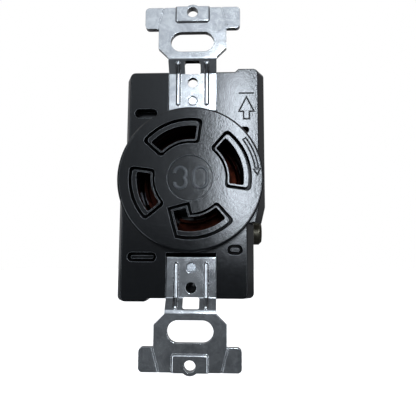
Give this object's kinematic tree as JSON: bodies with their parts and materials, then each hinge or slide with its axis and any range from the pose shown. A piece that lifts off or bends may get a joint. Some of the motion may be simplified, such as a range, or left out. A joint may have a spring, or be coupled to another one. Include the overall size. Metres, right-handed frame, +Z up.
{
  "type": "flush locking receptacle",
  "caption": "Flush-mounting twist-lock power receptacle: a round face with curved blade slots on a steel mounting strap, screw terminals on the sides and wire entries at the rear.",
  "frame": {"origin": "on the axis of the round face, in the plane of the ears' back faces, midway between the end holes", "axes": "+X to the right of somebody facing the slots, +Z up along the strap, -Y out of the front face towards the plug, +Y into the box"},
  "size_m": [0.043, 0.0385, 0.1068],
  "materials": {
    "black_moulding": "moulded black thermoset, semi-gloss with a faint grain",
    "strap_steel": "bright zinc plate, smooth with faint rolling marks",
    "contact_copper": "bare copper alloy strip",
    "spring_steel": "blued spring steel strip",
    "clamp_brass": "plain brass plate",
    "washer_steel": "bright zinc plate",
    "screw_steel": "bright nickel plate",
    "earth_screw_green": "olive green passivated head"
  },
  "bodies": {
    "receptacle": {"upper_strap": "strap_steel", "lower_strap": "strap_steel", "front_cover": "black_moulding", "rear_housing": "black_moulding", "earth_bond_strip": "contact_copper", "terminal_washers": "washer_steel", "upper_assembly_screw": "screw_steel", "lower_assembly_screw": "screw_steel", "contact_line_a": "contact_copper", "contact_spring_line_a": "spring_steel", "contact_line_b": "contact_copper", "contact_spring_line_b": "spring_steel", "contact_line_c": "contact_copper", "contact_spring_line_c": "spring_steel", "contact_earth": "contact_copper", "contact_spring_earth": "spring_steel"},
    "screw_line_a": {"terminal_screw_line_a": "screw_steel"},
    "clamp_line_a": {"clamp_plate_line_a": "clamp_brass"},
    "screw_line_b": {"terminal_screw_line_b": "screw_steel"},
    "clamp_line_b": {"clamp_plate_line_b": "clamp_brass"},
    "screw_line_c": {"terminal_screw_line_c": "screw_steel"},
    "clamp_line_c": {"clamp_plate_line_c": "clamp_brass"},
    "screw_earth": {"terminal_screw_earth": "earth_screw_green"},
    "clamp_earth": {"clamp_plate_earth": "clamp_brass"}
  },
  "joints": [
    {"name": "screw_turn_line_a", "type": "hinge", "parent": "receptacle", "child": "screw_line_a", "pos_m": [-0.0181, 0.014, 0.01405], "axis": [1, 0, 0], "range_deg": [0, 1080]},
    {"name": "clamp_slide_line_a", "type": "slide", "parent": "receptacle", "child": "clamp_line_a", "axis": [-1, 0, 0], "range_m": [0, 0.0021]},
    {"name": "screw_turn_line_b", "type": "hinge", "parent": "receptacle", "child": "screw_line_b", "pos_m": [0.0181, 0.014, 0.01405], "axis": [-1, 0, 0], "range_deg": [0, 1080]},
    {"name": "clamp_slide_line_b", "type": "slide", "parent": "receptacle", "child": "clamp_line_b", "axis": [1, 0, 0], "range_m": [0, 0.0021]},
    {"name": "screw_turn_line_c", "type": "hinge", "parent": "receptacle", "child": "screw_line_c", "pos_m": [-0.0181, 0.014, -0.01405], "axis": [1, 0, 0], "range_deg": [0, 1080]},
    {"name": "clamp_slide_line_c", "type": "slide", "parent": "receptacle", "child": "clamp_line_c", "axis": [-1, 0, 0], "range_m": [0, 0.0021]},
    {"name": "screw_turn_earth", "type": "hinge", "parent": "receptacle", "child": "screw_earth", "pos_m": [0.0181, 0.014, -0.01405], "axis": [-1, 0, 0], "range_deg": [0, 1080]},
    {"name": "clamp_slide_earth", "type": "slide", "parent": "receptacle", "child": "clamp_earth", "axis": [1, 0, 0], "range_m": [0, 0.0021]}
  ],
  "couplings": [
    {"joint": "screw_turn_line_a", "follows": "clamp_slide_line_a", "rad_per_m": 8976},
    {"joint": "screw_turn_line_b", "follows": "clamp_slide_line_b", "rad_per_m": 8976},
    {"joint": "screw_turn_line_c", "follows": "clamp_slide_line_c", "rad_per_m": 8976},
    {"joint": "screw_turn_earth", "follows": "clamp_slide_earth", "rad_per_m": 8976}
  ]
}
